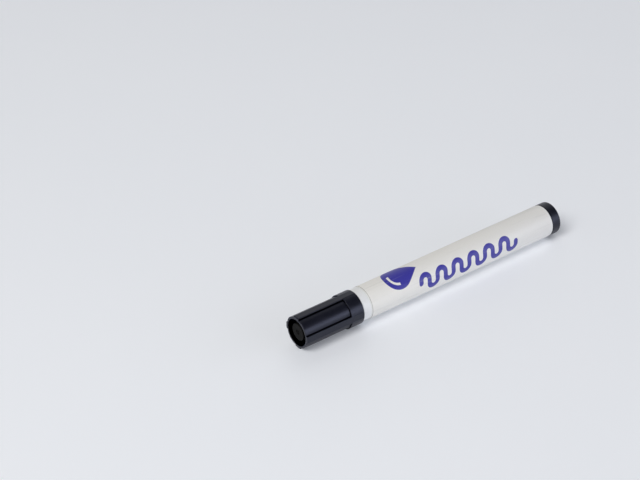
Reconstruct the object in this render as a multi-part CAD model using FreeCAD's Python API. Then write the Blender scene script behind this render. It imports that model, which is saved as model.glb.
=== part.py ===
import FreeCAD, Part

import math
import os

# A capped whiteboard marker lying on its side. It is round, with a push-on cap whose four flat ribs
# stop it from rolling. The frame is +X from the cap's closed end to the tail, +Z up. The origin is
# under the middle of the marker, on the surface that it lies on. All sizes are in millimetres.
#
# Each piece is first made about the X axis, with x counted from the cap's closed end, and is then
# moved to its place in the frame by write_piece().

# ---- driving sizes ----------------------------------------------------------------------------
OVERALL_LENGTH = 140.0
CAP_LENGTH = 29.5            # closed end to mouth
COLLAR_LENGTH = 4.1          # band of the front section that shows between cap and barrel
PLUG_HEAD_LENGTH = 4.8       # part of the end plug that shows behind the barrel

BARREL_DIAMETER = 14.64
BARREL_WALL = 1.1
LABEL_THICKNESS = 0.07
GLUE_GAP = 0.01              # between the label and the barrel
COLLAR_STEP = 0.22           # the collar lies this far below the barrel
SKIRT_STEP = 0.33            # the cap's round band stands this far above the barrel

# Fits between pieces, each a gap on the radius.
PRESS_GAP = 0.02             # pieces pushed together for good
SLIDE_GAP = 0.05             # cap on section
MOUTH_GAP = 0.08             # between the cap's mouth and the collar, along X
RESERVOIR_GAP = 0.05         # reservoir between the barrel's inner ribs

# ---- cap shell --------------------------------------------------------------------------------
SKIRT_LENGTH = 6.6
SKIRT_WALL = 1.0
RIB_COUNT = 4
RIB_WIDTH = 3.1
PANEL_EDGE_DEPTH = 0.85      # how far the bulging panels lie below the skirt, beside a rib
PANEL_MIDDLE_DEPTH = 0.53    # and at their middle
PANEL_WALL = 1.1
END_EDGE = 0.25              # chamfer of the ribs at the closed end
END_WALL = 0.7               # wall round the open end, beside a rib
END_BORE_DEPTH = 2.0
END_LIP_LENGTH = 1.0         # the lip that the inner seal stops against, behind that bore
END_LIP_HEIGHT = 0.4
RIB_EDGE_RADIUS = 0.2
SKIRT_EDGE_RADIUS = 0.3

# ---- inner seal -------------------------------------------------------------------------------
SEAL_RECESS = 0.55           # its disc lies this far inside the cap's end
SEAL_END_WALL = 1.2
SEAL_WALL = 0.7
SEAL_LENGTH = 16.7
SEAL_MOUTH_CHAMFER = 0.3
FIN_COUNT = 4
FIN_THICKNESS = 0.9
FIN_LENGTH = 11.0
GATE_RADIUS = 1.1            # moulding gate in the middle of the disc
GATE_DEPTH = 0.4
GATE_STUB_RADIUS = 0.35

# ---- nib --------------------------------------------------------------------------------------
NIB_DIAMETER = 4.6
NIB_TIP_START = 7.6          # from the cap's closed end
NIB_LENGTH = 41.4
NIB_TIP_RADIUS = 1.3         # roundness of the writing tip
NIB_TAPER_LENGTH = 3.2
NIB_BACK_CHAMFER = 0.9

# ---- front section ----------------------------------------------------------------------------
NOSE_WALL = 0.8
NOSE_START = 12.4            # from the cap's closed end
NOSE_LENGTH = 5.8
NOSE_EDGE_RADIUS = 0.5
SHOULDER_START = 19.4
FRONT_BODY_GAP = 0.1         # front body inside the cap's bore
SEAT_CLEAR = 0.5             # from the end of the cap's narrow bore to the seat
SEAT_LAND = 0.15             # how far the seat's bead stands above the seat
BEAD_LENGTH = 1.4
BEAD_FROM_COLLAR = 1.9
INSERT_LENGTH = 9.0          # part of the section inside the barrel
SECTION_WALL = 1.1
VENT_COUNT = 4               # air grooves along the nib
VENT_WIDTH = 0.6
VENT_DEPTH = 0.35
NIB_GUIDE_WALL = 1.2
NIB_GUIDE_END = 34.0
CORE_START = 20.4            # where the moulding is hollowed out behind the nose
CORE_STEP = 25.5

# ---- snap rings that hold the section and the plug in the barrel --------------------------------
SNAP_HEIGHT = 0.14
SNAP_LENGTH = 1.6
SNAP_FROM_EDGE = 4.5         # from the barrel's end to the middle of the ring

# ---- barrel -----------------------------------------------------------------------------------
INNER_RIB_COUNT = 6
INNER_RIB_WIDTH = 0.8
INNER_RIB_MARGIN = 1.0       # ribs stop this far from the section and the plug
LABEL_FRONT_MARGIN = 0.3
LABEL_BACK_MARGIN = 1.1
LABEL_SEAM_GAP = 0.3
LABEL_SEAM_ANGLE = 325.0     # butt seam of the label, at the back and underneath
BARREL_EDGE_RADIUS = 0.15

# ---- reservoir --------------------------------------------------------------------------------
INNER_RIB_HEIGHT = 0.57      # the barrel's inner ribs keep the reservoir this far from its wall
FILM_THICKNESS = 0.1
RESERVOIR_END_GAP = 0.3      # to the section and to the plug
NIB_POCKET_GAP = 0.02

# ---- end plug ---------------------------------------------------------------------------------
PLUG_INSERT_LENGTH = 8.0
PLUG_WALL = 1.2
PLUG_END_WALL = 1.4
PLUG_EDGE_RADIUS = 0.8
PLUG_RIM = 2.8               # width of the outer face round its shallow dish
PLUG_DISH_DEPTH = 0.3

# ---- worked out from the sizes above ------------------------------------------------------------
AXIS = FreeCAD.Vector(1, 0, 0)
BARREL_RADIUS = BARREL_DIAMETER / 2
BARREL_BORE = BARREL_RADIUS - BARREL_WALL
SKIRT_RADIUS = BARREL_RADIUS + SKIRT_STEP
RIB_FLAT = SKIRT_RADIUS                       # the ribs' flats touch the skirt's circle
PANEL_EDGE_RADIUS = SKIRT_RADIUS - PANEL_EDGE_DEPTH
PANEL_MIDDLE_RADIUS = SKIRT_RADIUS - PANEL_MIDDLE_DEPTH
CAP_BORE = PANEL_EDGE_RADIUS - PANEL_WALL
END_BORE = PANEL_EDGE_RADIUS - END_WALL
SEAL_STOP = END_BORE_DEPTH + END_LIP_LENGTH
SKIRT_BORE = SKIRT_RADIUS - SKIRT_WALL
SKIRT_START = CAP_LENGTH - SKIRT_LENGTH
WIDE_BORE_START = SKIRT_START + SKIRT_WALL / 2
COLLAR_RADIUS = BARREL_RADIUS - COLLAR_STEP
BARREL_START = CAP_LENGTH + COLLAR_LENGTH
BARREL_END = OVERALL_LENGTH - PLUG_HEAD_LENGTH
INSERT_RADIUS = BARREL_BORE - PRESS_GAP
LABEL_BORE = BARREL_RADIUS + GLUE_GAP
LABEL_RADIUS = LABEL_BORE + LABEL_THICKNESS
NIB_RADIUS = NIB_DIAMETER / 2
NIB_END = NIB_TIP_START + NIB_LENGTH
NIB_BORE = NIB_RADIUS + PRESS_GAP
NOSE_RADIUS = NIB_BORE + NOSE_WALL
SEAL_BORE = NOSE_RADIUS + SLIDE_GAP
SEAL_RADIUS = SEAL_BORE + SEAL_WALL
INSERT_END = BARREL_START + INSERT_LENGTH
RESERVOIR_RADIUS = BARREL_BORE - INNER_RIB_HEIGHT - RESERVOIR_GAP
RESERVOIR_START = INSERT_END + RESERVOIR_END_GAP
PLUG_INSERT_START = BARREL_END - PLUG_INSERT_LENGTH
PLUG_DISH_RADIUS = LABEL_RADIUS - PLUG_RIM
RESERVOIR_END = PLUG_INSERT_START - RESERVOIR_END_GAP


def lathe(start, *steps):
    """A solid turned about the X axis from a closed outline of (x, radius) points. A step is a point,
    reached by a straight line, or a pair of points: one on an arc's way, and the arc's end."""
    vector = lambda point: FreeCAD.Vector(point[0], point[1], 0)
    edges = []
    at = start
    for step in [*steps, start]:
        if isinstance(step[0], tuple):
            edges.append(Part.Arc(vector(at), vector(step[0]), vector(step[1])).toShape())
            at = step[1]
        elif step != at:
            edges.append(Part.LineSegment(vector(at), vector(step)).toShape())
            at = step
    face = Part.Face(Part.Wire(edges))
    return face.revolve(FreeCAD.Vector(0, 0, 0), AXIS, 360)


def tube(x0, x1, outer, inner=0.0):
    """A plain tube, or a rod where the inner radius is zero."""
    return lathe((x0, inner), (x0, outer), (x1, outer), (x1, inner))


def corner(x, r, radius, towards_x, towards_r):
    """An arc step that rounds a square corner of an outline at (x, r). The outline arrives along the
    radius and leaves along x, or the other way round: towards_x and towards_r are -1 or 1 and say on
    which side of the corner the material lies."""
    bulge = radius * (1 - math.sqrt(0.5))
    return (x + towards_x * bulge, r + towards_r * bulge)


def bar(x0, x1, r0, r1, width, angle):
    """A straight bar along X, from radius r0 to r1, at an angle round the axis from +Y."""
    solid = Part.makeBox(x1 - x0, r1 - r0, width, FreeCAD.Vector(x0, r0, -width / 2))
    solid.rotate(FreeCAD.Vector(0, 0, 0), AXIS, angle)
    return solid


def snap_ring(edge, inwards, radius, gap):
    """The raised ring on a piece in the barrel, or with a gap the groove that takes it."""
    middle = edge + inwards * SNAP_FROM_EDGE
    half = SNAP_LENGTH / 2 + gap
    top = radius + SNAP_HEIGHT + gap
    slope = SNAP_HEIGHT + gap
    root = radius - SNAP_HEIGHT
    return lathe(
        (middle - half, root),
        (middle - half, radius),
        (middle - half + slope, top),
        (middle + half - slope, top),
        (middle + half, radius),
        (middle + half, root),
    )


# ---- cap ----------------------------------------------------------------------------------------
def ribbed_outline():
    """The cap's cross-section at its ribs: bulging panels, and a flat-topped rib at each turn."""
    half = RIB_WIDTH / 2
    foot = math.sqrt(PANEL_EDGE_RADIUS**2 - half**2)
    turn = 2 * math.pi / RIB_COUNT

    def place(radial, sideways, k):
        a = k * turn
        y = radial * math.cos(a) - sideways * math.sin(a)
        z = radial * math.sin(a) + sideways * math.cos(a)
        return FreeCAD.Vector(0, y, z)

    edges = []
    for k in range(RIB_COUNT):
        profile = ((foot, -half), (RIB_FLAT, -half), (RIB_FLAT, half), (foot, half))
        corners = [place(radial, sideways, k) for radial, sideways in profile]
        edges += [Part.LineSegment(a, b).toShape() for a, b in zip(corners, corners[1:])]
        middle = place(PANEL_MIDDLE_RADIUS, 0, k + 0.5)
        edges.append(Part.Arc(corners[-1], middle, place(foot, -half, k + 1)).toShape())
    return Part.Wire(edges)


def cap_shell():
    """Outer cap: a round skirt at the mouth and four flat ribs with sunk panels between them. It is
    open at its closed end, where the inner seal's disc stands in it with an air gap all round."""
    grip = Part.Face(ribbed_outline()).extrude(AXIS * (SKIRT_START + SKIRT_WALL / 2))
    rib_corner = math.hypot(RIB_FLAT, RIB_WIDTH / 2)

    def is_rib_edge(edge):
        ends = [v.Point for v in edge.Vertexes]
        along = len(ends) == 2 and abs(ends[0].x - ends[1].x) > 1
        return along and all(abs(math.hypot(p.y, p.z) - rib_corner) < 0.01 for p in ends)

    grip = grip.makeFillet(RIB_EDGE_RADIUS, [e for e in grip.Edges if is_rib_edge(e)])
    end_radius = SKIRT_RADIUS - END_EDGE
    cone = lathe(
        (0, 0),
        (0, end_radius),
        (SKIRT_RADIUS + 1 - end_radius, SKIRT_RADIUS + 1),
        (CAP_LENGTH, SKIRT_RADIUS + 1),
        (CAP_LENGTH, 0),
    )
    grip = grip.common(cone)
    edge = SKIRT_EDGE_RADIUS
    skirt = lathe(
        (SKIRT_START, 0),
        (SKIRT_START, SKIRT_RADIUS),
        (CAP_LENGTH - edge, SKIRT_RADIUS),
        (corner(CAP_LENGTH, SKIRT_RADIUS, edge, -1, -1), (CAP_LENGTH, SKIRT_RADIUS - edge)),
        (CAP_LENGTH, 0),
    )
    lip_bore = CAP_BORE - END_LIP_HEIGHT
    bore = lathe(
        (-1, 0),
        (-1, END_BORE),
        (END_BORE_DEPTH, END_BORE),
        (END_BORE_DEPTH, lip_bore),
        (SEAL_STOP, lip_bore),
        (SEAL_STOP, CAP_BORE),
        (WIDE_BORE_START, CAP_BORE),
        (WIDE_BORE_START + SKIRT_BORE - CAP_BORE, SKIRT_BORE),
        (CAP_LENGTH - edge, SKIRT_BORE),
        (CAP_LENGTH, SKIRT_BORE + edge),
        (CAP_LENGTH + 1, SKIRT_BORE + edge),
        (CAP_LENGTH + 1, 0),
    )
    return grip.fuse(skirt).cut(bore).removeSplitter()


def cap_inner_seal():
    """Inner cup that keeps the nib wet: it slides over the nose. Its fins are pressed into the shell
    and stop against the shell's end lip, and air passes between them."""
    start = SEAL_RECESS
    mouth = start + SEAL_LENGTH
    cup = lathe(
        (start, 0),
        (start, SEAL_RADIUS - RIB_EDGE_RADIUS),
        (start + RIB_EDGE_RADIUS, SEAL_RADIUS),
        (mouth, SEAL_RADIUS),
        (mouth, SEAL_BORE + SEAL_MOUTH_CHAMFER),
        (mouth - SEAL_MOUTH_CHAMFER, SEAL_BORE),
        (start + SEAL_END_WALL, SEAL_BORE),
        (start + SEAL_END_WALL, 0),
    )
    gate = tube(start - 1, start + GATE_DEPTH, GATE_RADIUS, GATE_STUB_RADIUS)
    cup = cup.cut(gate)
    for k in range(FIN_COUNT):
        angle = (k + 0.5) * 360 / FIN_COUNT
        cup = cup.fuse(
            bar(SEAL_STOP, SEAL_STOP + FIN_LENGTH, SEAL_BORE + SEAL_WALL / 2,
                CAP_BORE - PRESS_GAP - FIN_THICKNESS**2 / (8 * CAP_BORE), FIN_THICKNESS, angle)
        )
    return cup.removeSplitter()


# ---- pen ----------------------------------------------------------------------------------------
def nib_outline(gap):
    """Steps of the nib's outline, with every face moved out by a gap."""
    tip = NIB_TIP_START - gap
    radius = NIB_RADIUS + gap
    ball = NIB_TIP_RADIUS + gap
    angle = math.asin((NIB_RADIUS - NIB_TIP_RADIUS) / NIB_TAPER_LENGTH)
    centre = tip + ball
    touch = (centre - ball * math.sin(angle), ball * math.cos(angle))
    half = (math.pi / 2 + angle) / 2
    on_the_way = (centre - ball * math.cos(math.pi / 2 - angle - half + angle), ball * math.sin(half - angle))
    full = touch[0] + (radius - touch[1]) / math.tan(angle)
    back = NIB_END + gap
    return (
        (tip, 0),
        (on_the_way, touch),
        (full, radius),
        (back - NIB_BACK_CHAMFER, radius),
        (back, radius - NIB_BACK_CHAMFER),
        (back, 0),
    )


def nib():
    """Bullet nib of bonded fibre, with a round writing tip and a chamfered back in the reservoir."""
    return lathe(*nib_outline(0.0))


def front_section():
    """Moulded section: nose tube round the nib, front body, seat for the cap, collar that shows, and
    an insert in the barrel. Behind the nose it is hollow, and air grooves run along the nib."""
    nose_end = NOSE_START + NOSE_LENGTH
    front_body = CAP_BORE - FRONT_BODY_GAP
    seat_start = WIDE_BORE_START + SKIRT_BORE - CAP_BORE + SEAT_CLEAR
    bead_top = SKIRT_BORE - SLIDE_GAP
    seat = bead_top - SEAT_LAND
    bead_end = CAP_LENGTH - BEAD_FROM_COLLAR
    bead_start = bead_end - BEAD_LENGTH
    collar_start = CAP_LENGTH + MOUTH_GAP
    round_nose = NOSE_EDGE_RADIUS
    insert_chamfer = 0.4
    solid = lathe(
        (NOSE_START, 0),
        (NOSE_START, NOSE_RADIUS - round_nose),
        (corner(NOSE_START, NOSE_RADIUS, round_nose, 1, -1), (NOSE_START + round_nose, NOSE_RADIUS)),
        (nose_end, NOSE_RADIUS),
        (SHOULDER_START, NOSE_RADIUS + 0.6 * (front_body - NOSE_RADIUS)),
        (SHOULDER_START + 0.8, front_body),
        (seat_start, front_body),
        (seat_start + seat - front_body, seat),
        (bead_start, seat),
        (bead_start + SEAT_LAND, bead_top),
        (bead_end - SEAT_LAND, bead_top),
        (bead_end, seat),
        (collar_start, seat),
        (collar_start, COLLAR_RADIUS - BARREL_EDGE_RADIUS),
        (collar_start + BARREL_EDGE_RADIUS, COLLAR_RADIUS),
        (BARREL_START, COLLAR_RADIUS),
        (BARREL_START, INSERT_RADIUS),
        (INSERT_END - insert_chamfer, INSERT_RADIUS),
        (INSERT_END, INSERT_RADIUS - insert_chamfer),
        (INSERT_END, 0),
    )
    solid = solid.fuse(snap_ring(BARREL_START, 1, INSERT_RADIUS, 0.0))
    guide = NIB_BORE + NIB_GUIDE_WALL
    inner = INSERT_RADIUS - SECTION_WALL
    solid = solid.cut(tube(NOSE_START - 1, INSERT_END + 1, NIB_BORE))
    hollows = ((CORE_START, CORE_STEP, front_body - SECTION_WALL), (CORE_STEP, NIB_GUIDE_END, inner))
    for x0, x1, outer in hollows:
        if outer > guide:
            solid = solid.cut(tube(x0, x1, outer, guide))
    solid = solid.cut(tube(NIB_GUIDE_END, INSERT_END + 1, inner))
    for k in range(VENT_COUNT):
        angle = k * 360 / VENT_COUNT
        groove_top = NIB_BORE + VENT_DEPTH
        groove = bar(NOSE_START - 1, NIB_GUIDE_END + 1, NIB_BORE / 2, groove_top, VENT_WIDTH, angle)
        solid = solid.cut(groove)
    return solid.removeSplitter()


def barrel():
    """Barrel tube with a snap groove near each end and inner ribs that hold the reservoir."""
    edge = BARREL_EDGE_RADIUS
    solid = lathe(
        (BARREL_START, BARREL_BORE),
        (BARREL_START, BARREL_RADIUS - edge),
        (BARREL_START + edge, BARREL_RADIUS),
        (BARREL_END - edge, BARREL_RADIUS),
        (BARREL_END, BARREL_RADIUS - edge),
        (BARREL_END, BARREL_BORE),
    )
    for edge_x, inwards in ((BARREL_START, 1), (BARREL_END, -1)):
        solid = solid.cut(snap_ring(edge_x, inwards, BARREL_BORE - PRESS_GAP, PRESS_GAP))
    rib_top = BARREL_BORE - INNER_RIB_HEIGHT
    for k in range(INNER_RIB_COUNT):
        angle = (k + 0.5) * 360 / INNER_RIB_COUNT
        rib = bar(INSERT_END + INNER_RIB_MARGIN, PLUG_INSERT_START - INNER_RIB_MARGIN,
                  rib_top, BARREL_BORE + BARREL_WALL / 2, INNER_RIB_WIDTH, angle)
        solid = solid.fuse(rib)
    return solid.removeSplitter()


def label():
    """Printed film wrapped once round the barrel, with a butt seam."""
    x0 = BARREL_START + LABEL_FRONT_MARGIN
    x1 = BARREL_END - LABEL_BACK_MARGIN
    seam = bar(x0 - 1, x1 + 1, BARREL_RADIUS / 2, LABEL_RADIUS + 1, LABEL_SEAM_GAP, LABEL_SEAM_ANGLE)
    return tube(x0, x1, LABEL_RADIUS, LABEL_BORE).cut(seam)


def reservoir_core():
    """Bundle of fibre that holds the ink, with the pocket that the nib has pressed into it."""
    core = tube(RESERVOIR_START, RESERVOIR_END, RESERVOIR_RADIUS - FILM_THICKNESS - GLUE_GAP)
    return core.cut(lathe(*nib_outline(NIB_POCKET_GAP)))


def reservoir_film():
    """Plastic film round the fibre, open at both ends."""
    return tube(RESERVOIR_START, RESERVOIR_END, RESERVOIR_RADIUS, RESERVOIR_RADIUS - FILM_THICKNESS)


def end_plug():
    """Closed plug pressed into the barrel's tail, with a round-edged head as wide as the barrel."""
    edge = PLUG_EDGE_RADIUS
    inner = INSERT_RADIUS - PLUG_WALL
    chamfer = 0.4
    solid = lathe(
        (PLUG_INSERT_START, inner),
        (PLUG_INSERT_START, INSERT_RADIUS - chamfer),
        (PLUG_INSERT_START + chamfer, INSERT_RADIUS),
        (BARREL_END, INSERT_RADIUS),
        (BARREL_END, LABEL_RADIUS - BARREL_EDGE_RADIUS),
        (BARREL_END + BARREL_EDGE_RADIUS, LABEL_RADIUS),
        (OVERALL_LENGTH - edge, LABEL_RADIUS),
        (corner(OVERALL_LENGTH, LABEL_RADIUS, edge, -1, -1), (OVERALL_LENGTH, LABEL_RADIUS - edge)),
        (OVERALL_LENGTH, PLUG_DISH_RADIUS),
        (OVERALL_LENGTH - PLUG_DISH_DEPTH, PLUG_DISH_RADIUS - PLUG_DISH_DEPTH),
        (OVERALL_LENGTH - PLUG_DISH_DEPTH, 0),
        (OVERALL_LENGTH - PLUG_END_WALL, 0),
        (OVERALL_LENGTH - PLUG_END_WALL, inner),
    )
    return solid.fuse(snap_ring(BARREL_END, -1, INSERT_RADIUS, 0.0)).removeSplitter()


# ---- files --------------------------------------------------------------------------------------
def write_piece(name, solid):
    """Moves a piece to its place in the frame and writes its STEP file."""
    solid.translate(FreeCAD.Vector(-OVERALL_LENGTH / 2, 0, RIB_FLAT))
    assert solid.isValid() and len(solid.Solids) == 1, name
    solid.Solids[0].exportStep(f"parts/{name}.step")
    box = solid.BoundBox
    sides = f"x {box.XMin:7.2f}..{box.XMax:6.2f}  z {box.ZMin:5.2f}..{box.ZMax:5.2f}"
    print(f"{name:16s} {solid.Volume / 1000:7.3f} cm3  {sides}")


os.makedirs("parts", exist_ok=True)
for make in (
    cap_shell,
    cap_inner_seal,
    nib,
    front_section,
    barrel,
    label,
    reservoir_core,
    reservoir_film,
    end_plug,
):
    write_piece(make.__name__, make())
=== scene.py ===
import math

import bmesh
import bpy
from mathutils import Matrix, Vector


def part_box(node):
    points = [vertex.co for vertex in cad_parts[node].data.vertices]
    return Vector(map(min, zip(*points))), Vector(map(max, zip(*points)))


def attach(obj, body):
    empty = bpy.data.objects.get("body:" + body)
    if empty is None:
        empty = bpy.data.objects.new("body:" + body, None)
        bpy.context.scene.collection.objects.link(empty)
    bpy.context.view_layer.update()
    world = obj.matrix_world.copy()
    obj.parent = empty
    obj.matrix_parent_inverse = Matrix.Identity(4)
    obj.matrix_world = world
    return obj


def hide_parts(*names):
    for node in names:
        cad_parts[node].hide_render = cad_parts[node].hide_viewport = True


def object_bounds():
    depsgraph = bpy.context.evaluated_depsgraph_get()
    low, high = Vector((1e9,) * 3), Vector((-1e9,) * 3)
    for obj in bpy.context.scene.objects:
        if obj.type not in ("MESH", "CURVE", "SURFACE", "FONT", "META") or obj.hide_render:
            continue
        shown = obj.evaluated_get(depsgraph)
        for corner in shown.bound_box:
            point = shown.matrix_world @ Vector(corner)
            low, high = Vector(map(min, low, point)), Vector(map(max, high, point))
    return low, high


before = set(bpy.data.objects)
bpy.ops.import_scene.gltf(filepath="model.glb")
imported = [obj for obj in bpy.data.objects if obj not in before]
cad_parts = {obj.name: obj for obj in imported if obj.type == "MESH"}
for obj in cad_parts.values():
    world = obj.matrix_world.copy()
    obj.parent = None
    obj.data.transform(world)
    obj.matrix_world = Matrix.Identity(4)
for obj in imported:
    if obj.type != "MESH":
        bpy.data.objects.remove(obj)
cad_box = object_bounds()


# ---- Camera, light and table ----------------------------------------------------------------------
# The marker is seen from above its cap's closed end, with a long lens. The light is that of a white
# studio: bright near the floor and dim overhead, with a key lamp, two broad fills and a pale table.
MM = 0.001
camera = bpy.data.objects.new("camera", bpy.data.cameras.new("camera"))
camera.data.lens = 101.25
camera.data.sensor_width = 36.0
camera.location = (-0.406, -0.472, 0.470)
camera_aim = Vector((-0.0581, 0.0, 0.0495))
camera.rotation_euler = (camera_aim - camera.location).to_track_quat("-Z", "Y").to_euler()
camera.data.clip_start = 0.01
bpy.context.collection.objects.link(camera)
bpy.context.scene.camera = camera
bpy.context.view_layer.update()
lying_turn = Matrix.Rotation(math.radians(4.4), 4, "X")
axis_lift = Matrix.Translation((0, 0, (cad_box[0].z + cad_box[1].z) / 2))
camera.matrix_world = axis_lift @ lying_turn @ axis_lift.inverted() @ camera.matrix_world
bpy.context.scene.view_settings.view_transform = "Standard"


def lamp(name, place, aim, width, height, watts, colour):
    """A rectangular soft lamp that points at a place on the marker."""
    light = bpy.data.lights.new(name, "AREA")
    light.shape = "RECTANGLE"
    light.size, light.size_y = width, height
    light.energy = watts
    light.color = colour
    held = bpy.data.objects.new(name, light)
    held.location = place
    held.rotation_euler = (Vector(aim) - Vector(place)).to_track_quat("-Z", "Y").to_euler()
    bpy.context.collection.objects.link(held)


lamp("key_lamp", (-0.95, -0.35, 1.25), (0, 0, 0), 0.9, 0.9, 16.5, (1.0, 0.985, 0.96))
lamp("back_lamp", (0.75, 1.09, 0.91), (0, 0, 0), 2.0, 1.5, 5.6, (1.0, 0.985, 0.96))
lamp("front_lamp", (1.00, -1.25, 0.40), (0, 0, 0), 2.2, 0.8, 10.3, (0.85, 0.87, 1.0))


class Link:
    """An output socket in a node tree. Arithmetic on it, or with it, adds Math nodes."""

    def __init__(self, tree, socket):
        self.tree = tree
        self.socket = socket

    def add(self, kind, settings=None, sockets=None, output=0):
        """Adds a node: its settings first, then the values or links of its sockets."""
        return grow(self.tree, kind, settings, sockets, output)

    def math(self, operation, *others):
        """A Math node on this value and others, in that order."""
        return self.add("ShaderNodeMath", {"operation": operation}, dict(enumerate([self, *others])))

    def math_after(self, operation, other):
        """A Math node on another value and this one, in that order."""
        return self.add("ShaderNodeMath", {"operation": operation}, {0: other, 1: self})

    def __add__(self, other):
        return self.math("ADD", other)

    def __radd__(self, other):
        return self.math_after("ADD", other)

    def __sub__(self, other):
        return self.math("SUBTRACT", other)

    def __rsub__(self, other):
        return self.math_after("SUBTRACT", other)

    def __mul__(self, other):
        return self.math("MULTIPLY", other)

    def __truediv__(self, other):
        return self.math("DIVIDE", other)

    def __pow__(self, other):
        return self.math("POWER", other)

    def __gt__(self, other):
        return self.math("GREATER_THAN", other)

    def __lt__(self, other):
        return self.math("LESS_THAN", other)

    def __abs__(self):
        return self.math("ABSOLUTE")

    def larger(self, other):
        return self.math("MAXIMUM", other)

    def smaller(self, other):
        return self.math("MINIMUM", other)

    def clip(self):
        return self.add("ShaderNodeClamp", {}, {"Value": self}, "Result")

    def below(self, edge, soft):
        """1 where the value is under an edge, 0 above it, and a soft step of a given width between."""
        return ((edge - self) / soft + 0.5).clip()

    def axis(self, letter):
        """One axis of a vector."""
        return self.add("ShaderNodeSeparateXYZ", {}, {0: self}, letter)


def grow(tree, kind, settings=None, sockets=None, output=0):
    """Adds a node to a tree, and returns one of its outputs."""
    node = tree.nodes.new(kind)
    for key, value in (settings or {}).items():
        setattr(node, key, value)
    for key, value in (sockets or {}).items():
        if isinstance(value, Link):
            tree.links.new(value.socket, node.inputs[key])
        else:
            node.inputs[key].default_value = value
    return Link(tree, node.outputs[output]) if len(node.outputs) else None


world = bpy.data.worlds.new("white_room")
world.use_nodes = True
bpy.context.scene.world = world
room = world.node_tree
room.nodes["Background"].inputs["Color"].default_value = (0.90, 0.94, 1.0, 1.0)
height = grow(room, "ShaderNodeTexCoord", output="Generated").axis("Z")
glow_height = 0.55
near_floor = (1 - height / glow_height).clip() ** 1.5
overhead, floor_glow = 0.09, 0.80
room.links.new((overhead + near_floor * floor_glow).socket, room.nodes["Background"].inputs["Strength"])


class Finish:
    """A material whose nodes are added one by one, and which ends in a Principled shader."""

    def __init__(self, name):
        self.material = bpy.data.materials.new(name)
        self.material.use_nodes = True
        self.tree = self.material.node_tree
        self.tree.nodes.clear()

    def add(self, kind, settings=None, sockets=None, output=0):
        return grow(self.tree, kind, settings, sockets, output)

    def place(self, stretch=(1.0, 1.0, 1.0)):
        """Object coordinates in metres, stretched along the axes."""
        spot = self.add("ShaderNodeTexCoord", output="Object")
        return self.add("ShaderNodeMapping", {}, {"Vector": spot, "Scale": stretch})

    def noise(self, stretch, scale, detail=2.0, rough=0.5):
        """A noise of about 0 to 1; scale is in lumps per metre."""
        sockets = {"Vector": self.place(stretch), "Scale": scale, "Detail": detail, "Roughness": rough}
        return self.add("ShaderNodeTexNoise", {}, sockets, "Fac")

    def mix(self, amount, first, second):
        """A colour between two colours."""
        return self.add("ShaderNodeMix", {"data_type": "RGBA"}, {0: amount, 6: first, 7: second}, 2)

    def bump(self, height, depth):
        """A normal from a height of about 0 to 1; depth is in metres."""
        return self.add("ShaderNodeBump", {}, {"Height": height, "Distance": depth})

    def end(self, **sockets):
        """Adds the Principled shader with the values or links of its sockets, and the output."""
        values = {name.replace("_", " "): value for name, value in sockets.items()}
        shader = self.add("ShaderNodeBsdfPrincipled", {}, values)
        self.add("ShaderNodeOutputMaterial", {}, {"Surface": shader})
        return self.material


def table_top():
    pale = Finish("table_top")
    cloud = pale.noise((1, 1, 1), 6.0, 3.0)
    grain = pale.noise((1, 1, 1), 900.0, 2.0)
    colour = pale.mix(cloud, (0.81, 0.835, 0.88, 1), (0.84, 0.86, 0.90, 1))
    return pale.end(
        Base_Color=colour,
        Roughness=0.42 + grain * 0.12,
        Normal=pale.bump(grain, 0.00002),
        Emission_Color=colour,
        Emission_Strength=0.15,
    )


reach = 6.0
corners = [(-reach, -reach, 0), (reach, -reach, 0), (reach, reach, 0), (-reach, reach, 0)]
table_mesh = bpy.data.meshes.new("table")
table_mesh.from_pydata(corners, [], [(0, 1, 2, 3)])
table_mesh.materials.append(table_top())
table = bpy.data.objects.new("table", table_mesh)
bpy.context.collection.objects.link(table)


# ---- Barrel ---------------------------------------------------------------------------------------
# Thin-walled tube, moulded in white polypropylene. It shows only as a narrow lip at each end of its
# printed film.
def moulded(
    name, colour, dull, rub=0.06, grain_depth=0.000012, stain=None, corners=None, shine=0.5, tint=(1, 1, 1)
):
    """A moulded plastic: fine spark texture, slow ripples from shrinkage, and fine rubbing marks that run
    round and along the piece, which change its gloss. dull is its roughness, rub how pale the marks are
    and shine its specular level. stain changes its colour, and corners says where shade is painted."""
    plastic = Finish(name)
    grain = plastic.noise((1, 1, 1), 5200.0, 3.0)
    ripple = plastic.noise((0.6, 1, 1), 160.0, 1.0)
    streaks = plastic.noise((0.05, 1, 1), 2600.0, 2.0)
    rings = plastic.noise((1, 0.07, 0.07), 3400.0, 2.0)
    patches = plastic.noise((1, 1, 1), 240.0, 3.0)
    marks = ((streaks - 0.56).clip() + (rings - 0.58).clip()) * 3.0 * (patches - 0.35).clip()
    darker = [c * 0.93 for c in colour]
    lighter = [min(c * 1.07, 1.0) for c in colour]
    pale = [c + rub * (0.75 - c) for c in colour]
    shade = plastic.mix(patches, (*darker, 1), (*lighter, 1))
    wear_and_painted_shade = plastic.mix((marks * 0.9).clip(), shade, (*pale, 1))
    if stain:
        wear_and_painted_shade = stain(plastic, wear_and_painted_shade)
    height = grain + ripple * 3.0 - marks * 0.8
    # Painted shade: where corners says, the colour goes near black and Metallic takes away its gloss.
    painted_shade = 0.0
    if corners:
        painted_shade = corners(plastic)
        wear_and_painted_shade = plastic.mix(painted_shade, wear_and_painted_shade, (0.0005, 0.0005, 0.0008, 1))
    return plastic.end(
        Base_Color=wear_and_painted_shade,
        Metallic=painted_shade,
        Roughness=(dull + (patches - 0.5) * 0.10 + marks * 0.35).clip(),
        Normal=plastic.bump(height, grain_depth),
        IOR=1.49,
        Specular_IOR_Level=shine,
        Specular_Tint=(*tint, 1),
    )


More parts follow.
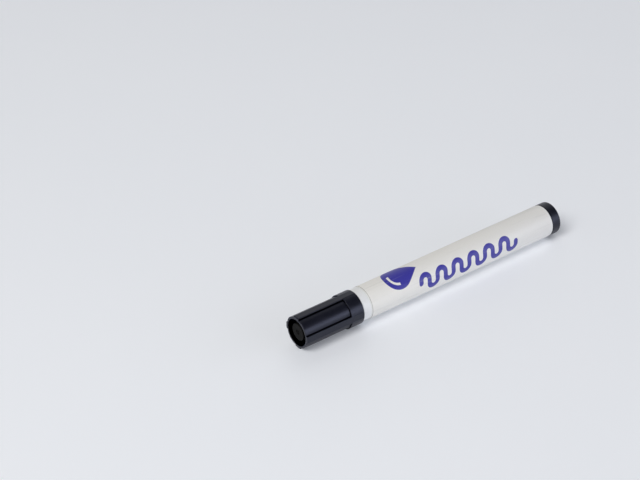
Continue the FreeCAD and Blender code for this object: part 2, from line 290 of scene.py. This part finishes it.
def dress(node, material):
    """Gives a CAD node its material."""
    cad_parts[node].data.materials.clear()
    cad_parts[node].data.materials.append(material)


dress("barrel", moulded("barrel_polypropylene", (0.80, 0.80, 0.78), 0.36))


# ---- Reservoir ------------------------------------------------------------------------------------
# A rod of polyester fibre that holds the ink, in a thin clear film open at both ends. It lies in the
# barrel between its inner ribs and feeds the nib, which is pushed into its front end.
def ink_fibre():
    fibre = Finish("ink_soaked_fibre")
    strands = fibre.noise((0.02, 1, 1), 5200.0, 3.0, 0.65)
    cloud = fibre.noise((1, 1, 1), 260.0, 3.0)
    soaked = fibre.mix(strands, (0.004, 0.004, 0.008, 1), (0.05, 0.05, 0.07, 1))
    colour = fibre.mix((cloud * 0.5).clip(), soaked, (0.02, 0.02, 0.035, 1))
    return fibre.end(Base_Color=colour, Roughness=0.6 + strands * 0.3, Normal=fibre.bump(strands, 0.00006))


def clear_film():
    film = Finish("reservoir_film")
    crinkle = film.noise((0.3, 1, 1), 420.0, 3.0)
    colour = film.mix(crinkle, (0.62, 0.63, 0.66, 1), (0.75, 0.76, 0.79, 1))
    return film.end(Base_Color=colour, Roughness=0.16 + crinkle * 0.15, Normal=film.bump(crinkle, 0.00004))


dress("reservoir_core", ink_fibre())
dress("reservoir_film", clear_film())


# ---- Printed film ---------------------------------------------------------------------------------
# Self-adhesive polypropylene film, wrapped once round the barrel with a narrow overlap at the back.
# It carries a print in blue ink: a drop of ink, and a wavy stroke such as the marker draws.
end_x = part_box("cap_shell")[0].x
axis_z = (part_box("end_plug")[0].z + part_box("end_plug")[1].z) / 2


def spot(x, across, up):
    """The point x mm from the cap's closed end, and so many mm across and up from the axis."""
    return Vector((end_x + x * MM, across * MM, axis_z + up * MM))


def span(node):
    """Where a CAD node starts and ends along the marker, and its radius, in mm."""
    low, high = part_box(node)
    return (low.x - end_x) / MM, (high.x - end_x) / MM, (high.z - low.z) / 2 / MM


def piece(name, mesh, material, body, slot, *nodes):
    """Puts a finished mesh in the scene, on its body, in place of its CAD nodes."""
    made = bpy.data.objects.new(name, mesh)
    bpy.context.collection.objects.link(made)
    mesh.materials.clear()
    mesh.materials.append(material)
    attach(made, body)
    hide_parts(*nodes)


def smooth_shaded(shape, sharp):
    """Shades a mesh smooth, apart from the edges where it turns by more than so many degrees."""
    for face in shape.faces:
        face.smooth = True
    for line in shape.edges:
        if len(line.link_faces) == 2 and line.calc_face_angle(0.0) > math.radians(sharp):
            line.smooth = False


def mesh_of(shape, name):
    mesh = bpy.data.meshes.new(name)
    shape.to_mesh(mesh)
    shape.free()
    return mesh


film_start, film_end, film_radius = span("label")
film_thickness = 0.075
film_overlap = 1.6
film_seam = math.radians(325.0)
film_under = film_radius - film_thickness
film_edge = 0.02


def film_mesh():
    """A strip of film wound round the barrel a little more than once, so that its last edge lies on its
    first. Its UV map holds millimetres: along the marker, and round it up from the front."""
    turn = math.tau + film_overlap / film_radius
    steps = 240
    rise = 1.2 / film_radius
    outer, inner = [], []
    for i in range(steps + 1):
        t = turn * i / steps
        angle = film_seam + t
        lift = min(max((t - (math.tau - rise)) / rise, 0.0), 1.0)
        base = film_under + (film_thickness + 0.01) * (lift * lift * (3 - 2 * lift))
        arc = (3 * math.pi - angle) * film_radius
        inner.append((base, angle, arc))
        outer.append((base + film_thickness, angle, arc))
    loop = outer + inner[::-1]
    middle = film_under + film_thickness / 2
    stations = [
        (film_start, film_edge / 2),
        (film_start + film_edge, 0.0),
        (film_end - film_edge, 0.0),
        (film_end, film_edge / 2),
    ]
    shape = bmesh.new()
    uv = shape.loops.layers.uv.new("UVMap")
    arcs = {}
    rings = []
    for x, lower in stations:
        ring = []
        for radius, angle, arc in loop:
            r = radius - lower if radius > middle else radius
            vert = shape.verts.new(spot(x, r * math.cos(angle), r * math.sin(angle)))
            arcs[vert] = (x, arc)
            ring.append(vert)
        rings.append(ring)
    count = len(loop)
    for a, b in zip(rings, rings[1:]):
        for i in range(count):
            j = (i + 1) % count
            shape.faces.new((a[i], b[i], b[j], a[j]))
    for ring in (rings[0], rings[-1]):
        for i in range(steps):
            shape.faces.new((ring[i], ring[i + 1], ring[count - 2 - i], ring[count - 1 - i]))
    bmesh.ops.recalc_face_normals(shape, faces=shape.faces)
    for face in shape.faces:
        for corner in face.loops:
            corner[uv].uv = arcs[corner.vert]
    smooth_shaded(shape, 40)
    return mesh_of(shape, "printed_film")


def printed_film():
    film = Finish("printed_film")
    uv = film.add("ShaderNodeUVMap", {"uv_map": "UVMap"})
    x, around = uv.axis("X"), uv.axis("Y")
    soft = 0.05

    # The drop: a disc, and a point drawn out from it towards the tail.
    drop_x, drop_up, drop_size, drop_lean = 50.8, 9.9, 6.6, math.radians(38)
    a = x - drop_x
    b = around - drop_up
    away = (a * a + b * b) ** 0.5
    disc = away.below(drop_size, soft)
    tip = drop_size / math.sin(drop_lean)
    point = (abs(b) - (tip - a) * math.tan(drop_lean)).below(0.0, soft)
    point = point * (1 - a.below(drop_size * math.sin(drop_lean), soft))
    glint = abs(away - drop_size * 0.62).below(0.55, soft) * a.below(-0.3, soft) * b.below(1.2, soft)
    drop = disc.larger(point) * (1 - glint)

    # The stroke: straight runs up and down, joined by half circles, that lean a little and end round.
    wave_start, wave_up, wave_height, wave_lean = 60.3, 1.9, 8.4, 0.16
    runs, pitch, pen_width = 12, 4.42, 2.25
    up = around - wave_up
    along = x - wave_start - up * wave_lean
    straight = (wave_height - pen_width - pitch) / 2
    above = up > 0.0
    to_top = (along - pitch / 2).math("PINGPONG", pitch)
    to_bend = above * to_top + (1 - above) * (pitch - to_top)
    past = (abs(up) - straight).larger(0.0)
    gap = abs((to_bend * to_bend + past * past) ** 0.5 - pitch / 2)
    first, last = pitch / 2, (runs - 0.5) * pitch
    kept = (along > first) * (along < last)
    kept = kept.larger(above * (along > first - pitch) * (along < first))
    kept = kept.larger((1 - above) * (along > last) * (along < last + pitch))
    stroke = gap.below(pen_width / 2, soft) * kept
    for stop in (0.0, runs * pitch):
        end_away = ((along - stop) * (along - stop) + up * up) ** 0.5
        stroke = stroke.larger(end_away.below(pen_width / 2, soft))

    # The film itself: off-white, a little soiled by handling, with painted shade along its front edge.
    ink = drop.larger(stroke)
    mottle = film.noise((1, 1, 1), 1500.0, 3.0)
    paper = film.mix(mottle, (0.800, 0.786, 0.748, 1), (0.838, 0.826, 0.792, 1))
    blue = film.mix(mottle, (0.040, 0.036, 0.300, 1), (0.054, 0.050, 0.370, 1))
    smear = film.noise((0.05, 1, 1), 900.0, 2.0)
    soil = ((smear - 0.6).clip() * 1.2).clip()
    colour = film.mix(soil, film.mix(ink, paper, blue), (0.42, 0.41, 0.40, 1))
    # Painted shade: a grey line along the film's front edge, where it meets the collar.
    painted_edge_shade = x.below(film_start + 0.16, 0.12)
    colour = film.mix(painted_edge_shade * 0.75, colour, (0.22, 0.215, 0.20, 1))
    fine = film.noise((1, 1, 1), 2600.0, 2.0)
    slow = film.noise((0.4, 1, 1), 120.0, 1.0)
    return film.end(
        Base_Color=colour,
        Roughness=(0.40 - ink * 0.06 + (fine - 0.5) * 0.12 + soil * 0.2).clip(),
        Normal=film.bump(fine * 0.6 + slow * 4.0 + ink * 0.5, 0.00001),
        IOR=1.48,
    )


piece("printed_film", film_mesh(), printed_film(), "pen", "label_film", "label")


# ---- Front section --------------------------------------------------------------------------------
# Moulded in white polypropylene: the nose tube round the nib, the bead that the cap clicks over, the
# collar that shows behind the cap, and an insert that snaps into the barrel.
def merged_copy(node, name):
    """A copy of a CAD node's mesh, with its loose triangles merged and its round faces shaded smooth."""
    shape = bmesh.new()
    shape.from_mesh(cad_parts[node].data)
    bmesh.ops.remove_doubles(shape, verts=shape.verts, dist=0.002 * MM)
    flat = math.radians(0.6)
    bmesh.ops.dissolve_limit(shape, angle_limit=flat, verts=shape.verts, edges=shape.edges)
    smooth_shaded(shape, 28)
    return mesh_of(shape, name)


def section_ink(plastic, colour):
    """Ink that has crept from the nib over the end of the nose."""
    creep = plastic.noise((1, 1, 1), 700.0, 3.0)
    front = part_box("front_section")[0].x
    stained = (plastic.place().axis("X") - creep * 1.1 * MM).below(front + 0.5 * MM, 0.6 * MM)
    return plastic.mix(stained * 0.9, colour, (0.012, 0.012, 0.02, 1))


piece(
    "front_moulding",
    merged_copy("front_section", "front_moulding"),
    moulded("section_polypropylene", (0.80, 0.81, 0.81), 0.34, stain=section_ink),
    "pen",
    "section_white",
    "front_section",
)


# ---- Nib ------------------------------------------------------------------------------------------
# Bullet nib of bonded polyester fibre, ground to a round tip and black with ink. Loose ends of fibre
# stand off it. Its back end is pushed into the reservoir.
def rounded(corners):
    """A closed outline of (x, radius) points from corners of (x, radius, rounding), with a point held on
    each straight beside a rounding, so that smooth shading stays on the rounding."""
    outline = []
    count = len(corners)
    steps = 4
    for i, (x, r, ease) in enumerate(corners):
        at = Vector((x, r))
        if ease <= 0:
            outline.append((x, r))
            continue
        before = Vector(corners[i - 1][:2]) - at
        after = Vector(corners[(i + 1) % count][:2]) - at
        angle = before.angle(after)
        back = ease / math.tan(angle / 2)
        start, stop = at + before.normalized() * back, at + after.normalized() * back
        hold = min(ease * 0.6, 0.3)
        if before.length > back + 2 * hold:
            outline.append(tuple(start + before.normalized() * hold))
        centre = at + (before.normalized() + after.normalized()).normalized() * (ease / math.sin(angle / 2))
        for k in range(steps + 1):
            spoke = (start - centre).slerp(stop - centre, k / steps)
            outline.append(tuple(centre + spoke.normalized() * ease))
        if after.length > back + 2 * hold:
            outline.append(tuple(stop + after.normalized() * hold))
    return outline


def turned(name, outline, turns=144):
    """A closed mesh turned round the marker's axis from an outline of (x, radius) points in mm."""
    shape = bmesh.new()
    rings = []
    for x, r in outline:
        if r < 1e-6:
            rings.append([shape.verts.new(spot(x, 0, 0))])
            continue
        angles = [math.tau * k / turns for k in range(turns)]
        rings.append([shape.verts.new(spot(x, r * math.cos(a), r * math.sin(a))) for a in angles])
    for a, b in zip(rings, rings[1:] + rings[:1]):
        for k in range(turns):
            m = (k + 1) % turns
            ends = (a[k % len(a)], a[m % len(a)], b[m % len(b)], b[k % len(b)])
            face = list(dict.fromkeys(ends))
            if len(face) > 2:
                shape.faces.new(face)
    bmesh.ops.recalc_face_normals(shape, faces=shape.faces)
    smooth_shaded(shape, 34)
    return mesh_of(shape, name)


def new_recipe(name, inputs):
    """A tree of geometry nodes with a geometry input and other named inputs. Returns the tree, its input
    sockets' identifiers by name, and its inputs as links."""
    tree = bpy.data.node_groups.new(name, "GeometryNodeTree")
    tree.interface.new_socket("Geometry", in_out="OUTPUT", socket_type="NodeSocketGeometry")
    tree.interface.new_socket("Geometry", in_out="INPUT", socket_type="NodeSocketGeometry")
    ids = {}
    for key, kind in inputs.items():
        ids[key] = tree.interface.new_socket(key, in_out="INPUT", socket_type=kind).identifier
    start = tree.nodes.new("NodeGroupInput")
    links = {s.name: Link(tree, s) for s in start.outputs if s.name}
    return tree, ids, links


def cooked(name, mesh, tree, ids, values):
    """Runs a tree of geometry nodes on a mesh and returns the plain mesh that it makes."""
    holder = bpy.data.objects.new(name, mesh)
    bpy.context.collection.objects.link(holder)
    recipe = holder.modifiers.new("recipe", "NODES")
    recipe.node_group = tree
    for key, value in values.items():
        recipe[ids[key]] = value
    ready = holder.evaluated_get(bpy.context.evaluated_depsgraph_get())
    made = bpy.data.meshes.new_from_object(ready)
    made.name = name
    holder.modifiers.remove(recipe)
    bpy.data.objects.remove(holder)
    return made


nib_start, nib_end, nib_radius = span("nib")
nib_ball = 1.3
nib_taper = 3.2
nib_chamfer = 0.9
fibres_end = 15.0


def nib_outline():
    """The nib's outline: a round tip, a cone that touches it, a rod, and a chamfered back."""
    lean = math.asin((nib_radius - nib_ball) / nib_taper)
    centre = nib_start + nib_ball
    points = [(nib_start, 0.0)]
    ball_steps, cone_steps = 9, 6
    for k in range(1, ball_steps + 1):
        a = (math.pi / 2 - lean) * k / ball_steps
        points.append((centre - nib_ball * math.cos(a), nib_ball * math.sin(a)))
    x, r = points[-1]
    full = x + (nib_radius - r) / math.tan(lean)
    for k in range(1, cone_steps):
        points.append((x + (full - x) * k / cone_steps, r + (nib_radius - r) * k / cone_steps))
    on_cone = (full - 0.8, nib_radius - 0.8 * math.tan(lean), 0)
    shoulder = rounded([on_cone, (full, nib_radius, 2.0), (full + 3, nib_radius, 0)])
    points += shoulder[1:-1]
    points += [(full + 1.5 + k, nib_radius) for k in range(0, 8, 2)]
    points += [(nib_end - nib_chamfer, nib_radius), (nib_end, nib_radius - nib_chamfer), (nib_end, 0.0)]
    return points


def fibre_recipe():
    """Sets loose ends of fibre on the front of a surface, lying nearly along the marker."""
    kinds = {
        "Per square metre": "NodeSocketFloat",
        "Fibre length": "NodeSocketFloat",
        "Fibre radius": "NodeSocketFloat",
        "Seed": "NodeSocketInt",
        "Material": "NodeSocketMaterial",
    }
    tree, ids, given = new_recipe("loose_fibres", kinds)
    first = given["Geometry"]
    in_front = first.add("GeometryNodeInputPosition").axis("X") < spot(fibres_end, 0, 0).x
    spread = {"Mesh": first, "Density": given["Per square metre"] * in_front, "Seed": given["Seed"]}
    points = first.add("GeometryNodeDistributePointsOnFaces", {}, spread)
    normal = Link(tree, points.socket.node.outputs["Normal"])
    lie = {"Primary Axis": normal, "Secondary Axis": (1.0, 0.0, 0.0)}
    turn = first.add("FunctionNodeAxesToRotation", {"primary_axis": "Z", "secondary_axis": "X"}, lie)
    wobble = {"Min": (-0.05, -0.30, -0.35), "Max": (0.05, 0.05, 0.35), "Seed": given["Seed"]}
    wobble = first.add("FunctionNodeRandomValue", {"data_type": "FLOAT_VECTOR"}, wobble)
    wobble = first.add("FunctionNodeEulerToRotation", {}, {0: wobble})
    turn = first.add("FunctionNodeRotateRotation", {"rotation_space": "LOCAL"}, {0: turn, 1: wobble})
    size = first.add("FunctionNodeRandomValue", {}, {"Min": 0.4, "Max": 1.0, "Seed": given["Seed"] + 1}, 1)
    taper = {"Radius Top": 0.0, "Radius Bottom": given["Fibre radius"], "Depth": given["Fibre length"]}
    strand = first.add("GeometryNodeMeshCone", {"fill_type": "NGON"}, {"Vertices": 4, **taper})
    laid = {"Geometry": strand, "Rotation": (0.0, -math.pi / 2, 0.0)}
    strand = first.add("GeometryNodeTransform", {}, laid)
    put = {"Points": points, "Instance": strand, "Rotation": turn, "Scale": size}
    fibres = first.add("GeometryNodeInstanceOnPoints", {}, put)
    fibres = first.add("GeometryNodeRealizeInstances", {}, {0: fibres})
    both = tree.nodes.new("GeometryNodeJoinGeometry")
    tree.links.new(fibres.socket, both.inputs[0])
    tree.links.new(first.socket, both.inputs[0])
    solid = first.add("GeometryNodeRealizeInstances", {}, {0: Link(tree, both.outputs[0])})
    coloured = first.add("GeometryNodeSetMaterial", {}, {"Geometry": solid, "Material": given["Material"]})
    first.add("NodeGroupOutput", {}, {0: coloured})
    return tree, ids


def nib_felt():
    felt = Finish("nib_felt")
    strands = felt.noise((0.03, 1, 1), 7000.0, 3.0, 0.7)
    pits = felt.noise((1, 1, 1), 9000.0, 2.0)
    cloud = felt.noise((1, 1, 1), 500.0, 2.0)
    colour = felt.mix((strands * 0.8 + pits * 0.2).clip(), (0.003, 0.003, 0.006, 1), (0.035, 0.035, 0.05, 1))
    colour = felt.mix((cloud - 0.45).clip(), colour, (0.06, 0.06, 0.08, 1))
    return felt.end(
        Base_Color=colour,
        Roughness=(0.62 + pits * 0.25).clip(),
        Normal=felt.bump(strands + pits * 0.7, 0.00007),
        Sheen_Weight=0.3,
        Sheen_Roughness=0.5,
    )


fibre_tree, fibre_ids = fibre_recipe()
felt = nib_felt()
fibre_values = {
    "Per square metre": 5.0e6,
    "Fibre length": 0.55 * MM,
    "Fibre radius": 0.018 * MM,
    "Seed": 7,
    "Material": felt,
}
nib_mesh = cooked("nib", turned("nib_body", nib_outline(), 96), fibre_tree, fibre_ids, fibre_values)
piece("nib_of_fibre", nib_mesh, felt, "pen", "nib_felt", "nib")


# ---- End plug -------------------------------------------------------------------------------------
# Black polypropylene plug pressed into the barrel's tail. Its head is as wide as the film and has a
# rounded edge, a shallow dish and, in the dish's middle, the mark of the moulding gate.
plug_start, plug_end, plug_radius = span("end_plug")
head_start = span("barrel")[1]
insert_radius = 6.2
plug_bore = insert_radius - 1.2
plug_floor = plug_end - 1.4
dish_radius = 4.6
dish = plug_end - 0.3
gate = dish - 0.15
gate_stub = dish - 0.02
plug_outline = rounded(
    [
        (plug_start, plug_bore, 0.1),
        (plug_start, insert_radius, 0.35),
        (head_start, insert_radius, 0),
        (head_start, plug_radius, 0.12),
        (plug_end, plug_radius, 0.8),
        (plug_end, dish_radius, 0.1),
        (dish, dish_radius - 0.25, 0.15),
        (dish, 1.0, 0.08),
        (gate, 0.85, 0.05),
        (gate, 0.32, 0.04),
        (gate_stub, 0.26, 0.04),
        (gate_stub, 0.0, 0),
        (plug_floor, 0.0, 0),
        (plug_floor, plug_bore, 0.2),
    ]
)


def black_plastic(name, colour, dull, shine=0.5, corners=None):
    """The black of the cap and the plug, with a violet cast, worn pale edges and any painted shade."""

    def edge_wear(plastic, shade):
        x = plastic.place().axis("X")
        chips = plastic.noise((1, 1, 1), 1900.0, 3.0, 0.6)
        low, high = cad_box
        from_end = (x - low.x).smaller(high.x - x)
        worn = from_end.below(0.35 * MM, 0.8 * MM) * ((chips - 0.47) * 5.0).clip()
        return plastic.mix((worn * 0.2).clip(), shade, (0.10, 0.10, 0.12, 1))

    violet = (0.74, 0.79, 1.0)
    return moulded(name, colour, dull, 0.05, 0.000010, edge_wear, corners, shine, violet)


piece(
    "tail_plug",
    turned("tail_plug", plug_outline),
    black_plastic("plug_black", (0.0050, 0.0052, 0.0100), 0.36, 0.48),
    "pen",
    "plug_black",
    "end_plug",
)


# ---- Cap's inner seal -----------------------------------------------------------------------------
# A softer black cup that closes over the nose and keeps the nib wet. It stands in the shell on fins,
# and air passes round it. Its disc lies a little inside the cap's end and has a gate mark.
seal_start, seal_end, _ = span("cap_inner_seal")
seal_bore = 3.17
seal_radius = 3.87
seal_floor = seal_start + 1.2
seal_gate = seal_start + 0.40
seal_stub = seal_start + 0.02
seal_outline = rounded(
    [
        (seal_stub, 0.0, 0),
        (seal_stub, 0.28, 0.04),
        (seal_gate, 0.40, 0.04),
        (seal_gate, 1.00, 0.05),
        (seal_start, 1.13, 0.08),
        (seal_start, seal_radius, 0.25),
        (seal_end, seal_radius, 0.15),
        (seal_end, seal_bore + 0.2, 0.1),
        (seal_end - 0.3, seal_bore, 0.1),
        (seal_floor, seal_bore, 0.3),
        (seal_floor, 0.0, 0),
    ]
)
lip_end = 3.0


def fin_mesh():
    """One fin, standing on the axis and pointing along +Y, with chamfered outer edges."""
    length, inner, outer, half, chamfer = 11.0, 3.7, 5.66, 0.45, 0.12
    upper = [(outer, half - chamfer), (outer - chamfer, half), (inner, half)]
    lower = [(y, -z) for y, z in reversed(upper)]
    section = lower + upper
    shape = bmesh.new()
    ends = []
    for x in (lip_end, lip_end + length):
        ends.append([shape.verts.new((end_x + x * MM, y * MM, z * MM)) for y, z in section])
    for i in range(len(section)):
        j = (i + 1) % len(section)
        shape.faces.new((ends[0][i], ends[1][i], ends[1][j], ends[0][j]))
    shape.faces.new(ends[0])
    shape.faces.new(ends[1])
    bmesh.ops.recalc_face_normals(shape, faces=shape.faces)
    return mesh_of(shape, "seal_fin")


def round_the_axis():
    """Repeats a geometry round the X axis, lifts it to the marker's axis and merges what meets."""
    kinds = {
        "Count": "NodeSocketInt",
        "First turn": "NodeSocketFloat",
        "Axis height": "NodeSocketFloat",
        "Merge within": "NodeSocketFloat",
        "Material": "NodeSocketMaterial",
    }
    tree, ids, given = new_recipe("round_the_axis", kinds)
    first = given["Geometry"]
    points = first.add("GeometryNodePoints", {}, {"Count": given["Count"], "Position": (0.0, 0.0, 0.0)})
    index = first.add("GeometryNodeInputIndex")
    turn = index * math.tau / given["Count"] + given["First turn"]
    turn = first.add("ShaderNodeCombineXYZ", {}, {"X": turn})
    turn = first.add("FunctionNodeEulerToRotation", {}, {0: turn})
    put = {"Points": points, "Instance": first, "Rotation": turn}
    copies = first.add("GeometryNodeInstanceOnPoints", {}, put)
    solid = first.add("GeometryNodeRealizeInstances", {}, {0: copies})
    close = {"Geometry": solid, "Distance": given["Merge within"]}
    merged = first.add("GeometryNodeMergeByDistance", {}, close)
    lift = first.add("ShaderNodeCombineXYZ", {}, {"Z": given["Axis height"]})
    raised = first.add("GeometryNodeTransform", {}, {"Geometry": merged, "Translation": lift})
    coloured = first.add("GeometryNodeSetMaterial", {}, {"Geometry": raised, "Material": given["Material"]})
    first.add("NodeGroupOutput", {}, {0: coloured})
    return tree, ids


def joined(name, *meshes):
    """One mesh from several."""
    shape = bmesh.new()
    for mesh in meshes:
        shape.from_mesh(mesh)
    return mesh_of(shape, name)


ring_tree, ring_ids = round_the_axis()
seal_black = moulded("seal_black", (0.006, 0.006, 0.006), 0.58, rub=0.012, shine=0.08)
fin_values = {
    "Count": 4,
    "First turn": math.pi / 4,
    "Axis height": axis_z,
    "Merge within": 0.0005 * MM,
    "Material": seal_black,
}
fins = cooked("seal_fins", fin_mesh(), ring_tree, ring_ids, fin_values)
seal_mesh = joined("inner_seal", turned("seal_cup", seal_outline, 96), fins)
piece("inner_seal", seal_mesh, seal_black, "cap", "seal_black", "cap_inner_seal")


# ---- Cap shell ------------------------------------------------------------------------------------
# Black polypropylene, moulded in one: a round skirt at the mouth, four flat ribs along the whole cap and
# bulging panels between them. A quarter is made, from rib to rib, and repeated round the axis.
_, shell_end, _ = span("cap_shell")
skirt_radius = 7.65
skirt_start = shell_end - 6.6
rib_count = 4
rib_half = 1.55
panel_edge = 6.80
panel_middle = 7.12
end_bore = 6.10
lip_start = 2.0
lip_bore = 5.30
shell_bore = 5.70
skirt_bore = 6.65
mouth_round = 0.3


def grip_outline():
    """A quarter of the cross-section, from the middle of one rib to the middle of the next."""
    foot = math.sqrt(panel_edge**2 - rib_half**2)
    half = [(skirt_radius, rib_half * k / 4) for k in range(4)]
    edge = rounded([(skirt_radius, 0.0, 0), (skirt_radius, rib_half, 0.22), (foot, rib_half, 0)])
    half += edge[1:-1]
    # The panel is the arc through its two feet and its middle, with a small rounding at each foot.
    turn = math.tau / rib_count
    feet = Vector((foot, rib_half)), Vector((rib_half, foot))
    middle = Vector((math.cos(turn / 2), math.sin(turn / 2))) * panel_middle
    chord = (feet[1] - feet[0]).length
    rise = (middle - (feet[0] + feet[1]) / 2).length
    bend = rise / 2 + chord**2 / (8 * rise)
    centre = middle - middle.normalized() * bend
    first = math.atan2(feet[0].y - centre.y, feet[0].x - centre.x)
    last = math.atan2(middle.y - centre.y, middle.x - centre.x)
    steps = 14
    angles = [first + (last - first) * k / steps for k in range(steps + 1)]
    panel = [centre + bend * Vector((math.cos(a), math.sin(a))) for a in angles]
    ease, reach = 0.16, 0.45
    up_the_wall = feet[0] + (Vector((skirt_radius, rib_half)) - feet[0]).normalized() * reach
    on_the_panel = feet[0] + (panel[1] - feet[0]).normalized() * reach
    inside = rounded([(*up_the_wall, 0), (*feet[0], ease), (*on_the_panel, 0)])
    half += inside[1:-1]
    half += [tuple(p) for p in panel if (p - feet[0]).length > reach + 0.05]
    mirrored = [(z, y) for y, z in reversed(half[:-1])]
    return half + mirrored


def shell_quarter():
    """The shell's wall from rib to rib, as rows of points from the end bore out, along and back inside."""
    outline = [Vector(p) for p in grip_outline()]

    def circle(x, radius):
        return [(x, p.normalized() * radius) for p in outline]

    def grip(x, limit, shrink=0.0):
        return [(x, p.normalized() * (min(p.length, limit) - shrink)) for p in outline]

    def step(x, share, proud_share=0.0):
        """Between the grip's outline and the skirt's circle. The ribs' flats stand proud of the circle."""
        ring = []
        for p in outline:
            part = proud_share if p.length > skirt_radius else share
            ring.append((x, p.normalized() * (p.length + (skirt_radius - p.length) * part)))
        return ring

    end_limit = skirt_radius - 0.25
    rings = [
        circle(0.9, end_bore),
        circle(0.20, end_bore),
        circle(0.06, end_bore + 0.03),
        circle(0.0, end_bore + 0.12),
        circle(0.0, end_bore + 0.2),
        grip(0.0, end_limit, 0.16),
        grip(0.02, end_limit + 0.02, 0.055),
        grip(0.07, end_limit + 0.07, 0.012),
        grip(0.13, end_limit + 0.13),
        grip(0.22, end_limit + 0.21),
        grip(0.34, end_limit + 0.30),
        grip(0.50, end_limit + 0.38),
        grip(0.75, 9.0),
        grip(1.10, 9.0),
        grip(1.60, 9.0),
        grip(skirt_start - 0.5, 9.0),
        step(skirt_start - 0.08, 0.0),
        step(skirt_start - 0.02, 0.03),
        step(skirt_start, 0.14),
        step(skirt_start, 0.80),
        step(skirt_start + 0.04, 0.94),
        step(skirt_start + 0.13, 1.0),
        step(skirt_start + 0.40, 1.0),
        step(shell_end - 0.8, 1.0),
        step(shell_end - 0.45, 1.0),
        step(shell_end - 0.36, 1.0, 0.6),
    ]
    steps = 5
    for k in range(steps + 1):
        a = math.pi / 2 * k / steps
        along = shell_end - mouth_round * (1 - math.sin(a))
        rings.append(circle(along, skirt_radius - mouth_round * (1 - math.cos(a))))
    rings += [
        circle(shell_end, skirt_bore + 0.40),
        circle(shell_end - 0.02, skirt_bore + 0.31),
        circle(shell_end - 0.28, skirt_bore + 0.04),
        circle(shell_end - 0.36, skirt_bore),
        circle(shell_end - 0.8, skirt_bore),
        circle(skirt_start + 1.6, skirt_bore),
        circle(skirt_start + 1.40, skirt_bore - 0.03),
        circle(skirt_start + 0.55, shell_bore + 0.03),
        circle(skirt_start + 0.35, shell_bore),
        circle(lip_end + 0.2, shell_bore),
        circle(lip_end, shell_bore - 0.02),
        circle(lip_end, lip_bore + 0.02),
        circle(lip_end - 0.05, lip_bore),
        circle(lip_start + 0.05, lip_bore),
        circle(lip_start, lip_bore + 0.02),
        circle(lip_start, end_bore - 0.02),
        circle(lip_start - 0.05, end_bore),
    ]
    shape = bmesh.new()
    rows = [[shape.verts.new((end_x + x * MM, p.x * MM, p.y * MM)) for x, p in ring] for ring in rings]
    for a, b in zip(rows, rows[1:] + rows[:1]):
        for i in range(len(outline) - 1):
            shape.faces.new((a[i], a[i + 1], b[i + 1], b[i]))
    bmesh.ops.recalc_face_normals(shape, faces=shape.faces)
    return mesh_of(shape, "shell_quarter")


def facing_out(mesh):
    """A copy of a closed mesh with its faces turned outwards and shaded smooth."""
    shape = bmesh.new()
    shape.from_mesh(mesh)
    bmesh.ops.recalc_face_normals(shape, faces=shape.faces)
    smooth_shaded(shape, 50)
    return mesh_of(shape, mesh.name)


def painted_corner_shade(plastic):
    """Painted shade: 1 in the corners beside the ribs and against the skirt, and inside the open end, where
    shade falls. There the plastic is painted black and made without gloss."""
    place = plastic.place()
    x = (place.axis("X") - end_x) / MM
    y, z = abs(place.axis("Y")) / MM, abs(place.axis("Z") - axis_z) / MM
    radius = (y * y + z * z) ** 0.5
    outer, inner = y.larger(z), y.smaller(z)
    grip = x.below(skirt_start, 0.1) * (1 - x.below(0.15, 0.1))
    wall = abs(inner - rib_half).below(0.15, 0.12) * outer.below(skirt_radius - 0.29, 0.1) * grip
    ledge = abs(x - skirt_start).below(0.12, 0.1) * radius.below(skirt_radius - 0.15, 0.1)
    inside = x.below(lip_start + 0.2, 0.1) * radius.below(end_bore + 0.16, 0.06)
    return (wall + ledge + inside).clip()


# The cap's black, with shade painted into its corners and its open end.
cap_black = black_plastic("cap_black", (0.0042, 0.0043, 0.0090), 0.34, 0.56, painted_corner_shade)
shell_values = {
    "Count": rib_count,
    "First turn": 0.0,
    "Axis height": axis_z,
    "Merge within": 0.004 * MM,
    "Material": cap_black,
}
shell_mesh = cooked("cap_shell", shell_quarter(), ring_tree, ring_ids, shell_values)
piece("ribbed_cap", facing_out(shell_mesh), cap_black, "cap", "cap_black", "cap_shell")
